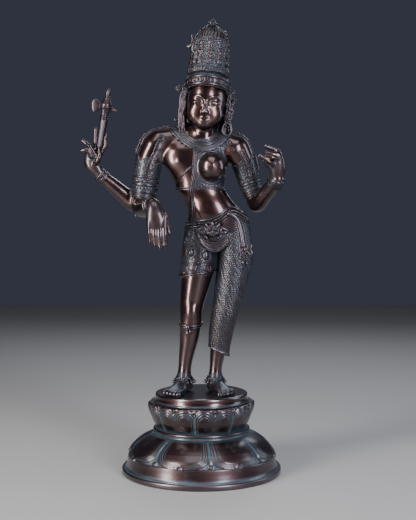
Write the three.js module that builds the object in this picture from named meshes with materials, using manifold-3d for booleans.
// Ardhanarishvara statue: a standing, three-armed figure cast with its round foot plate, on a separate
// double lotus pedestal. The proper right half (-X) is male and the proper left half (+X) is female.
// Millimetres, +Z up. The origin is the centre of the pedestal's underside, and the figure faces -Y.
import * as THREE from "three";
import { mergeVertices } from "three/addons/utils/BufferGeometryUtils.js";
import Module from "manifold-3d";

const wasm = await Module();
wasm.setup();

// Driving dimensions
const HEIGHT = 685; // crown tip above the table
const BASE_RADIUS = 121; // lowest rim of the pedestal
const PLATE_RADIUS = 71; // round plate under the feet
const PLATE_TOP = 121;
const PLATE_BOTTOM = 106;
const SEAT_GAP = 0.3; // between the plate and the pedestal that carries it
const PETALS = 8; // in each row of the lotus
const CHIN = new THREE.Vector3(3.8, -2, 518.5); // foot of the axis of the head and crown
const CROWN_FOOT = 66.5; // crown above the chin, along that axis
const HEAD_TILT = 0.082; // radians, towards +X

const UP = new THREE.Vector3(0, 0, 1);
const ACROSS = new THREE.Vector3(1, 0, 0);
const DEEP = new THREE.Vector3(0, 1, 0);
const TURN = 2 * Math.PI;

// Solids and geometries

function solid(geometry) {
  const bare = geometry.index ? geometry.toNonIndexed() : geometry.clone();
  bare.deleteAttribute("normal");
  bare.deleteAttribute("uv");
  const merged = mergeVertices(bare, 1e-4);
  return new wasm.Manifold(
    new wasm.Mesh({
      numProp: 3,
      vertProperties: merged.attributes.position.array,
      triVerts: new Uint32Array(merged.index.array),
    }),
  );
}

function geometryOf(body) {
  const mesh = body.getMesh();
  const geometry = new THREE.BufferGeometry();
  geometry.setAttribute("position", new THREE.BufferAttribute(Float32Array.from(mesh.vertProperties), 3));
  geometry.setIndex(new THREE.BufferAttribute(mesh.triVerts, 1));
  geometry.computeVertexNormals();
  return geometry;
}

const join = (bodies) => bodies.reduce((sum, body) => sum.add(body));

// A closed skin over rings of points, from one end point to the other.
function skin(rings, first, last) {
  const sides = rings[0].length;
  const points = [...rings.flat(), first, last];
  const index = [];
  for (let row = 0; row < rings.length - 1; row++) {
    for (let side = 0; side < sides; side++) {
      const [a, b] = [row * sides + side, row * sides + ((side + 1) % sides)];
      index.push(a, b, b + sides, a, b + sides, a + sides);
    }
  }
  const top = (rings.length - 1) * sides;
  for (let side = 0; side < sides; side++) {
    const next = (side + 1) % sides;
    index.push(points.length - 2, next, side);
    index.push(points.length - 1, top + side, top + next);
  }
  return solid(new THREE.BufferGeometry().setFromPoints(points).setIndex(index));
}

// An ellipse square to an axis, whose section may slant down towards its wide side.
function ring(centre, along, wideAxis, wide, thick, sides, slant = 0) {
  const side = wideAxis.clone().addScaledVector(along, -wideAxis.dot(along)).normalize();
  const face = along.clone().cross(side);
  return Array.from({ length: sides }, (_, k) => {
    const angle = ((k + 0.5) / sides) * TURN;
    const reach = wide * Math.cos(angle);
    return centre
      .clone()
      .addScaledVector(side, reach)
      .addScaledVector(face, thick * Math.sin(angle))
      .addScaledVector(UP, -slant * reach);
  });
}

function smooth(points) {
  return new THREE.CatmullRomCurve3(points, false, "catmullrom", 0.5);
}

// A limb over stations [x, y, z, half width, half thickness, slant of the section], which ends in a dome.
// A level limb keeps its sections horizontal, and a blunt one ends inside its neighbour. A band
// [place among the stations, half length, rise] is a collar cast around it.
function limb(stations, { sides = 8, wideAxis = ACROSS, level = false, blunt = false, bands = [] } = {}) {
  const last = stations.length - 1;
  const spine = smooth(stations.map(([x, y, z]) => new THREE.Vector3(x, y, z)));
  const sizes = smooth(
    stations.map(([, , , wide, thick = wide, slant = 0]) => new THREE.Vector3(wide, thick, slant)),
  );
  const covered = (station) => bands.some(([at, half]) => Math.abs(station - at) < half + 0.02);
  const plain = stations.map((_, k) => [k, 0]).filter(([at]) => at === 0 || at === last || !covered(at));
  const edges = bands.flatMap(([at, half, rise]) => [
    [at - half - 0.01, 0],
    [at - half, rise],
    [at + half, rise],
    [at + half + 0.01, 0],
  ]);
  const stops = [...plain, ...edges].sort((a, b) => a[0] - b[0]);
  const heading = (at) => {
    const tangent = spine.getTangent(at / last);
    return level ? UP.clone().multiplyScalar(Math.sign(tangent.z)) : tangent;
  };
  const beyond = (at, reach) => {
    const thick = sizes.getPoint(at / last).y;
    return spine.getPoint(at / last).addScaledVector(heading(at), reach * thick);
  };
  const section = (at, rise, reach, scale) => {
    const size = sizes.getPoint(at / last);
    const [wide, thick] = [(size.x + rise) * scale, (size.y + rise) * scale];
    return ring(beyond(at, reach), heading(at), wideAxis, wide, thick, sides, size.z);
  };
  const rings = stops.map(([at, rise]) => section(at, rise, 0, 1));
  if (!blunt) rings.push(section(last, 0, 0.65, 0.7));
  return skin(rings, beyond(0, -0.3), beyond(last, blunt ? 0.3 : 0.9));
}

// A filled drum over loops of points, such as a belt around a body.
function drum(loops) {
  const middle = (loop) =>
    loop.reduce((sum, point) => sum.add(point), new THREE.Vector3()).divideScalar(loop.length);
  return skin(loops, middle(loops[0]), middle(loops[loops.length - 1]));
}

function ball(x, y, z, wide, deep = wide, high = wide, sides = 6) {
  const geometry = new THREE.SphereGeometry(1, sides, Math.max(3, sides / 2));
  geometry.rotateX(Math.PI / 2).scale(wide, deep, high).translate(x, y, z);
  return solid(geometry);
}

// A turned solid over a profile of [radius, height], whose swell moves points in and out.
function turned(profile, sides, swell = (angle, radius) => radius) {
  const outline = profile.map(([radius, height]) => new THREE.Vector2(radius, height));
  const geometry = new THREE.LatheGeometry(outline, sides).rotateX(Math.PI / 2);
  const position = geometry.attributes.position;
  for (let k = 0; k < position.count; k++) {
    const [x, y, z] = [position.getX(k), position.getY(k), position.getZ(k)];
    const radius = Math.hypot(x, y);
    const scale = radius > 1e-6 ? swell(Math.atan2(y, x), radius, z) / radius : 1;
    position.setXY(k, x * scale, y * scale);
  }
  return solid(geometry);
}

// Body forms, from the hips up and from the hips down
const TORSO = [
  [24, 4, 348, 44, 29],
  [23, 4, 375, 45.5, 30],
  [22.5, 1, 391, 42, 27],
  [15, -1, 403, 39, 24],
  [8, -2, 414, 37, 23],
  [-1.3, -1, 429, 36.5, 24],
  [-3.5, 0, 441, 37.5, 26],
  [-9.8, 1, 465, 46, 28],
  [-11.5, 2, 481, 51, 27],
  [-9, 4, 496, 60, 23],
  [-6, 5, 507, 46, 18],
  [-2, 5, 514, 32, 14],
];
const RIGHT_LEG = [
  [1, 2, 368, 23, 25],
  [-4.7, 0, 308, 25, 27],
  [-10, -1, 278, 21.5, 23],
  [-14.8, -2, 248, 17.6, 19],
  [-15.8, -3, 227, 16.5, 17.5],
  [-17.4, 1, 211, 15.8, 16.5],
  [-19.3, 3, 195, 14, 16],
  [-22.6, 3, 177, 11.8, 13],
  [-25.5, 2, 156, 10, 10.5],
  [-27, 2, 138, 11.5, 13],
];
const LEFT_LEG = [
  [33.5, 1, 226, 16.5, 18],
  [29.5, -2, 211, 15.5, 17],
  [26.6, 2, 190, 13, 15],
  [24.2, 3, 175, 11.5, 13],
  [21.8, 2, 156, 9.6, 10.5],
  [20.5, 2, 138, 11, 13],
];
const SHORT_SKIRT = [
  [1, 2, 366, 24, 26],
  [-2, 1, 335, 26.5, 29],
  [-4.7, 0, 312, 27.5, 29.6, -0.06],
  [-6.2, 0, 301, 28.6, 30.6, -0.16],
];
const LONG_SKIRT = [
  [40.5, 2, 392, 25.5, 26.4],
  [46, 2, 370, 25.8, 27.4],
  [51.5, 0, 329, 26, 28.6],
  [47.3, -1, 299, 24.5, 27],
  [39, -5, 258, 20.5, 22.5],
  [34.2, -6, 236, 19, 20.5],
  [29.8, -2, 211, 17.6, 19],
  [27, 1, 191, 15.5, 17.5, 0.28],
  [26.6, 1.5, 182, 15.2, 17, 0.5],
];

// Size of the torso at a height, as [x, y, half width, half thickness].
function torsoAt(z) {
  const above = THREE.MathUtils.clamp(TORSO.findIndex((s) => s[2] >= z), 1, TORSO.length - 1);
  const [low, high] = [TORSO[above - 1], TORSO[above]];
  const share = THREE.MathUtils.clamp((z - low[2]) / (high[2] - low[2]), 0, 1);
  return [0, 1, 3, 4].map((k) => THREE.MathUtils.lerp(low[k], high[k], share));
}

// A point on the front of the torso, moved out by a margin.
function chest(x, z, margin = 0) {
  const [cx, cy, wide, thick] = torsoAt(z);
  const side = THREE.MathUtils.clamp((x - cx) / wide, -0.98, 0.98);
  return new THREE.Vector3(x, cy - (thick + margin) * Math.sqrt(1 - side * side), z);
}

// A loop around the torso, whose height depends on the place across and in depth.
function girdle(height, margin, sides = 12) {
  return Array.from({ length: sides }, (_, k) => {
    const angle = ((k + 0.5) / sides) * TURN;
    const z = height(Math.cos(angle), Math.sin(angle));
    const [cx, cy, wide, thick] = torsoAt(z);
    const [reach, depth] = [(wide + margin) * Math.cos(angle), (thick + margin) * Math.sin(angle)];
    return new THREE.Vector3(cx + reach, cy + depth, z);
  });
}

function trunk() {
  const chestBand = [5, 0.18, 2.2];
  const neck = [[1, 4, 500, 22, 20], [3, 2, 516, 20, 19], [5, 1, 532, 20, 19]];
  return [
    limb(TORSO, { sides: 12, level: true, blunt: true, bands: [chestBand] }),
    limb(neck, { sides: 8, level: true, blunt: true }),
    ball(15.5, -21, 460.5, 20.8, 22.8, 21.4, 10),
    ball(16.5, -43, 462.5, 2.8, 3.6, 2.8, 5),
    ball(-30, -12, 474, 23, 15, 20, 8),
    ball(-63, 5, 496, 26, 21, 22, 8),
    ball(50, 4, 487, 21, 18, 19, 8),
    ball(2, 17, 352, 25, 18, 27, 8),
    ball(44, 17, 352, 26, 18, 27, 8),
  ];
}

function legs() {
  return [
    limb(RIGHT_LEG, { sides: 9, level: true, blunt: true, bands: [[4, 0.09, 2.4], [8.6, 0.16, 3]] }),
    limb(LEFT_LEG, { sides: 9, level: true, blunt: true, bands: [[4.6, 0.16, 3]] }),
  ];
}

// A foot from heel to toes on the plate, with its big toe on the given side of its axis.
function foot([heelX, heelY], [toeX, toeY], bigToeSide) {
  const heel = new THREE.Vector3(heelX, heelY, PLATE_TOP);
  const along = new THREE.Vector3(toeX - heelX, toeY - heelY, 0);
  const across = along.clone().normalize().cross(UP).multiplyScalar(bigToeSide);
  const place = (share, side, lift) => {
    const point = heel.clone().addScaledVector(along, share).addScaledVector(across, side);
    return point.addScaledVector(UP, lift).toArray();
  };
  const sole = [
    [0.02, 10, 8, 6.6],
    [0.28, 11.5, 12, 10.6],
    [0.55, 14, 8.5, 7.1],
    [0.86, 16.5, 6, 4.4],
  ].map(([share, wide, thick, lift]) => [...place(share, 0, lift), wide, thick]);
  const toes = Array.from({ length: 5 }, (_, k) => {
    const side = 12 - k * 6.3;
    const reach = 1.12 - 0.012 * k * k;
    const size = k === 0 ? 4.8 : 3.8;
    const stations = [[...place(0.8, side, 5), size], [...place(reach, side * 1.04, 3.8), size * 0.95]];
    return limb(stations, { sides: 4, wideAxis: UP });
  });
  return [limb(sole, { sides: 8, wideAxis: across }), ...toes];
}

// Arms, from the shoulder to the wrist
const FRONT_RIGHT_ARM = [
  [-70, 1, 491, 19],
  [-79, 0, 470, 19.5],
  [-84, -1, 440, 18.5],
  [-87, -2, 417, 17],
  [-90, -9, 402, 15],
  [-83, -32, 399, 13.5],
  [-70, -60, 404, 10.5],
];
const REAR_RIGHT_ARM = [
  [-72, 12, 486, 17],
  [-88, 18, 440, 16],
  [-97, 19, 412, 15],
  [-104, 18, 408, 13.5],
  [-125, 15, 426, 12],
  [-156, 9, 452, 9],
];
const LEFT_ARM = [
  [50, 2, 489, 18.5],
  [63, 3, 468, 17],
  [72, 3, 440, 15],
  [80, 2, 418, 13.5],
  [84, -4, 406, 13],
  [95, -25, 420, 12],
  [110, -49, 439, 10],
  [112.5, -53, 444, 9.6],
];

function arms() {
  const shape = { sides: 8, wideAxis: DEEP, blunt: true };
  return [
    limb(FRONT_RIGHT_ARM, { ...shape, bands: [[2.3, 0.1, 2], [3, 0.16, 2.2], [5.75, 0.1, 2.4]] }),
    limb(REAR_RIGHT_ARM, { ...shape, bands: [[4.85, 0.1, 2.2]] }),
    limb(LEFT_ARM, { ...shape, bands: [[2.2, 0.1, 2], [2.95, 0.16, 2.2], [6.1, 0.3, 2.4]] }),
  ];
}

// A finger through its joints, which thins towards the tip.
function finger(joints, size = 3.4) {
  const stations = joints.map((joint, k) => [...joint, size * (1 - (0.25 * k) / (joints.length - 1))]);
  return limb(stations, { sides: 4, wideAxis: new THREE.Vector3(0.3, 1, 0.2) });
}

// The lowered front hand, with the back of the hand outwards.
function hangingHand() {
  const stations = [[-69, -61, 402, 11, 9.5], [-66.5, -68, 391, 13.2, 8.6], [-64.2, -72, 374, 14, 6.6]];
  const palm = limb(stations, { sides: 8 });
  const lengths = [26.5, 31.5, 35.5, 32];
  const fingers = lengths.map((length, k) => {
    const x = -74 + k * 7.1;
    return finger([[x, -73, 378], [x + 0.6, -74.5, 377 - length * 0.5], [x + 1.4, -72.5, 377 - length]], 4);
  });
  return [palm, ...fingers, finger([[-58, -64, 394], [-50, -66, 379], [-47, -65, 362]], 4.1)];
}

function axeHand() {
  const palm = limb([[-157, 8, 455, 9.5, 8.5], [-164.5, 6, 466, 12.5, 8], [-167, 5, 484, 9, 6]], { sides: 8 });
  const fingers = [
    finger([[-162, 5, 481], [-159.8, 2, 498], [-159.6, 2, 519]], 3.4),
    finger([[-157, 4, 472], [-145.6, 2, 493], [-145, 3, 510]], 3.3),
    finger([[-158, -2, 475], [-168, -6, 493], [-178.5, -5, 501]], 3.2),
    finger([[-166, -3, 477], [-172, -6, 486], [-180, -5, 486]], 3.2),
    finger([[-162, 0, 466], [-153.5, -4, 479], [-154, -2, 489]], 3.6),
  ];
  return [palm, ...fingers];
}

function flowerHand() {
  const palm = limb([[109, -48, 440, 9.5, 9], [111, -56, 454, 11, 8.5], [109.5, -62, 473, 9, 6.4]], { sides: 8 });
  const fingers = [
    finger([[112.5, -57, 474], [107.5, -61, 482.5], [93, -63, 488]], 3.2),
    finger([[112, -60, 470], [104, -66, 476.5], [94.5, -67, 479]], 3.2),
    finger([[110, -62, 466], [102, -70, 471.5], [94, -70, 473]], 3.2),
    finger([[107, -60, 457], [97, -70, 466], [84, -71, 473]], 3.2),
    finger([[105, -52, 452], [97, -59, 461], [91, -63, 468]], 3.6),
  ];
  return [palm, ...fingers];
}

// The axe stands between the raised fingers, and leans with its own axis.
function axe() {
  const foot = new THREE.Vector3(-154.2, 2, 491);
  const lean = 0.163;
  const reach = 91.8;
  const profile = [
    [0, -5], [3.6, -1], [4.2, 20], [5.9, 40], [7.2, 44], [6.2, 50], [9.9, 61], [9, 63.5], [5.2, 73],
    [3.6, 79], [4.2, 84], [0, reach],
  ];
  const blade = new THREE.Shape();
  blade.moveTo(-5, -3);
  blade.quadraticCurveTo(-9, -3, -13, -9.6);
  blade.quadraticCurveTo(-29, 0, -13, 9.6);
  blade.quadraticCurveTo(-9, 3, -5, 3);
  const plate = new THREE.ExtrudeGeometry(blade, { depth: 3, bevelEnabled: false, curveSegments: 4 });
  plate.rotateX(Math.PI / 2).translate(0, 1.5, 61);
  const spike = limb([[6, 0, 60.8, 3, 4.6], [16, 0, 57.4, 1, 1.2]], { sides: 4, wideAxis: DEEP });
  const whole = turned(profile, 8).add(solid(plate)).add(spike);
  return whole.rotate([0, THREE.MathUtils.radToDeg(lean), 0]).translate(foot.toArray());
}

// Puts what is modelled upright over the origin on the axis of the head.
function onHead(body) {
  return body.rotate([0, THREE.MathUtils.radToDeg(HEAD_TILT), 0]).translate(CHIN.toArray());
}

function head() {
  const face = limb(
    [
      [0, -9, 0.5, 8, 9],
      [0, -7.6, 6, 15, 18],
      [0, -4.4, 17, 24, 25],
      [0, -1.2, 34, 29, 29.3],
      [0, 0, 48, 29.6, 31.2],
      [0, 2, 66, 27, 29.5],
    ],
    { sides: 14, level: true },
  );
  const nose = limb([[0, -28, 41, 2.6], [0, -31, 27, 3.4], [0, -31.6, 22.6, 4.2]], { sides: 6 });
  const lips = ball(0, -26.2, 13.2, 7.6, 3.4, 2.8, 6);
  const hair = ball(0, 10, 42, 32, 27, 34, 6);
  const pendant = [[33, 2, 62, 6, 8], [36, 2, 42, 7, 9], [36, 2, 22, 6.4, 8], [34, 1, 0, 4.8, 6]];
  const hangings = [-1, 1].map((side) =>
    limb(pendant.map(([x, y, z, ...size]) => [side * x, y, z, ...size]), { sides: 6, level: true }),
  );
  const flowers = [ball(-42.5, -2, 57.5, 6.4, 4.4, 6, 6), ball(41.5, -2, 45.5, 6, 4.4, 6, 6)];
  return [face, nose, lips, hair, ...hangings, ...flowers].map(onHead);
}

// A pierced ring that hangs from the ear lobe.
function earring() {
  const hoop = new THREE.TorusGeometry(9.4, 2, 4, 10).scale(0.74, 1, 1).rotateX(Math.PI / 2);
  return onHead(solid(hoop.translate(34.6, -5, 2)));
}

// The tall crown: a headband, tiers that narrow upwards, a fluted dome and a finial. Its heights are above
// its own foot.
function crown() {
  const tip = (HEIGHT - CHIN.z) / Math.cos(HEAD_TILT) - CROWN_FOOT;
  const flutes = 8;
  const profile = [
    [0, 0], [31, 0], [32, 8], [30, 13], [30, 22], [28.6, 26], [28, 37], [26.4, 48], [25.4, 61], [23.6, 69],
    [18.6, 77], [12.6, 84], [6, 90], [7, 92], [3, 96], [0, tip],
  ];
  const fluted = (angle, radius, z) =>
    z > 60 && z < 88 ? radius * (1 + 0.06 * Math.cos(flutes * angle)) : radius;
  const loop = (lift, radius, sides = 12) =>
    Array.from({ length: sides }, (_, k) => {
      const angle = ((k + 0.5) / sides) * TURN;
      const front = Math.max(0, -Math.sin(angle));
      return new THREE.Vector3(radius * Math.cos(angle), radius * Math.sin(angle), lift + 7 * front * front);
    });
  const headband = drum([loop(-8, 31), loop(-7, 36), loop(3, 35.5), loop(5, 31)]);
  const crescent = [[-22, -8, 54, 3], [-32, -9.5, 53, 2.6], [-27, -10, 61, 3], [-30, -10, 75, 1.2]];
  return [
    turned(profile, 2 * flutes, fluted),
    headband,
    limb(crescent, { sides: 4, wideAxis: DEEP }),
    ball(25, -8, 61, 5, 5, 6, 5),
  ].map((body) => onHead(body.translate([0, 0, CROWN_FOOT])));
}

// The broad collar that lies over the shoulders and the upper chest.
function collar() {
  const sides = 12;
  const loop = (reach, lift, drop) =>
    Array.from({ length: sides }, (_, k) => {
      const angle = ((k + 0.5) / sides) * TURN;
      const front = Math.max(0, -Math.sin(angle));
      const [x, y] = [2 + reach * Math.cos(angle), 3 + reach * 0.8 * Math.sin(angle)];
      return new THREE.Vector3(x, y, lift - drop * front ** 1.4);
    });
  return drum([loop(37, 507, 21), loop(39.5, 512, 21), loop(33, 517.5, 19), loop(26, 522, 16)]);
}

// Locks and tassels that edge the shoulders, as a scalloped roll.
function shoulderFringe() {
  const outlines = [
    [[-40, 514], [-56, 517], [-70, 515], [-82, 508], [-91, 498], [-96, 486], [-99, 474]],
    [[42, 509], [55, 505], [65, 499], [73, 490], [78, 479], [82, 467], [85, 455]],
  ];
  return outlines.map((outline) => {
    const points = smooth(outline.map(([x, z]) => new THREE.Vector3(x, 2, z))).getPoints(6);
    const stations = points.map(({ x, y, z }, k) => [x - Math.sign(x) * 2, y, z - 2, k % 2 ? 6.4 : 4, 5]);
    return limb(stations, { sides: 4, wideAxis: ACROSS });
  });
}

// The sacred thread, the belt, the sashes and both garments.
function drapery() {
  const onChest = (points, margin, size) => points.map(([x, z]) => [...chest(x, z, margin).toArray(), size]);
  const thread = onChest([[-9, 490], [-10, 467], [-11, 448], [-15, 428], [-13, 404], [-11, 382]], 0.6, 2.4);
  const strand = onChest([[-10, 462], [-24, 452], [-38, 438]], 0.6, 2.2);
  const rise = (across, deep) => 380 + 15 * Math.max(0, across * 1.4 - 0.4) * Math.max(0.1, 0.5 - deep);
  const belt = drum([
    girdle((across, deep) => rise(across, deep) - 15, 0),
    girdle((across, deep) => rise(across, deep) - 13, 3.4),
    girdle((across, deep) => rise(across, deep) - 6, 2.8),
    girdle((across, deep) => rise(across, deep) - 4, 4.8),
    girdle((across, deep) => rise(across, deep) + 4, 4.4),
    girdle((across, deep) => rise(across, deep) + 5, 0),
  ]);
  const frontSash = [
    [0, -25, 366, 4],
    [4, -30, 350, 4.4],
    [19, -32, 338, 4.8],
    [34, -30, 347, 4.6],
    [46, -25, 374, 4.5],
  ];
  const sideSash = [[50, -22, 386, 4], [57, -22, 370, 4.6], [59, -22, 350, 5.2], [58, -22, 331, 5.6]];
  const cord = { sides: 5, wideAxis: UP, blunt: true };
  return [
    limb(thread, { sides: 5, blunt: true }),
    limb(strand, cord),
    belt,
    ball(14, -31, 372, 8.5, 6, 9, 7),
    limb(frontSash, cord),
    limb(sideSash, { sides: 6 }),
    ball(39, -28, 350, 6.5, 5, 6.5, 7),
    ball(65, -18, 341, 6, 6, 7, 7),
    limb(SHORT_SKIRT, { sides: 10, level: true, blunt: true }),
    limb(LONG_SKIRT, { sides: 11, level: true, blunt: true }),
  ];
}

function footPlate() {
  const [radius, low, high] = [PLATE_RADIUS, PLATE_BOTTOM, PLATE_TOP];
  const profile = [
    [0, low], [radius - 1, low], [radius + 1.5, low + 3], [radius - 0.5, low + 6], [radius - 1, high - 2],
    [radius - 3, high], [0, high],
  ];
  return turned(profile, 28);
}

function figure() {
  return join([
    ...trunk(),
    ...legs(),
    ...foot([-22, 12], [-43, -42], -1),
    ...foot([17, 11], [37, -42], 1),
    ...arms(),
    ...hangingHand(),
    ...axeHand(),
    ...flowerHand(),
    axe(),
    ...head(),
    earring(),
    ...crown(),
    collar(),
    ...shoulderFringe(),
    ...drapery(),
    footPlate(),
  ]);
}

// The pedestal: mouldings, petals that hang down, a ring, and petals that stand up.
function lotusPedestal() {
  const seat = PLATE_BOTTOM - SEAT_GAP;
  const lip = PLATE_RADIUS + 2.2;
  const profile = [
    [0, 0], [BASE_RADIUS, 0], [BASE_RADIUS, 8.5], [BASE_RADIUS - 6.5, 11.5], [BASE_RADIUS - 9, 26],
    [BASE_RADIUS - 9.5, 28.5], [BASE_RADIUS - 15, 38], [BASE_RADIUS - 28, 50.5], [BASE_RADIUS - 46, 59.5],
    [72, 60], [73.5, 64], [71, 68], [67, 69], [73.5, 80], [78, 93], [80.5, 106], [78.5, 107.5],
    [lip, 106.5], [lip - 0.6, seat], [0, seat],
  ];
  const lowPhase = THREE.MathUtils.degToRad(-60.5);
  const highPhase = THREE.MathUtils.degToRad(-75);
  const petal = (angle, phase) => Math.abs(Math.cos(((angle - phase) * PETALS) / 2));
  const swell = (angle, radius, z) => {
    if (z > 28 && z < 58) return radius - 2.6 + 4.4 * petal(angle, lowPhase) ** 0.5;
    if (z > 74 && z < 108 && radius > lip + 1) return radius - 1.6 + 2.6 * petal(angle, highPhase) ** 0.5;
    return radius;
  };
  return turned(profile, 5 * PETALS, swell);
}

function piece(name, body, colour, roughness) {
  const material = new THREE.MeshStandardMaterial({ color: colour, roughness, metalness: 0.9 });
  const mesh = new THREE.Mesh(geometryOf(body), material);
  mesh.name = name;
  return mesh;
}

const statue = new THREE.Group();
statue.add(piece("figure", figure(), 0x4a2f26, 0.35));
statue.add(piece("lotus_pedestal", lotusPedestal(), 0x3a2a26, 0.4));

export default statue;
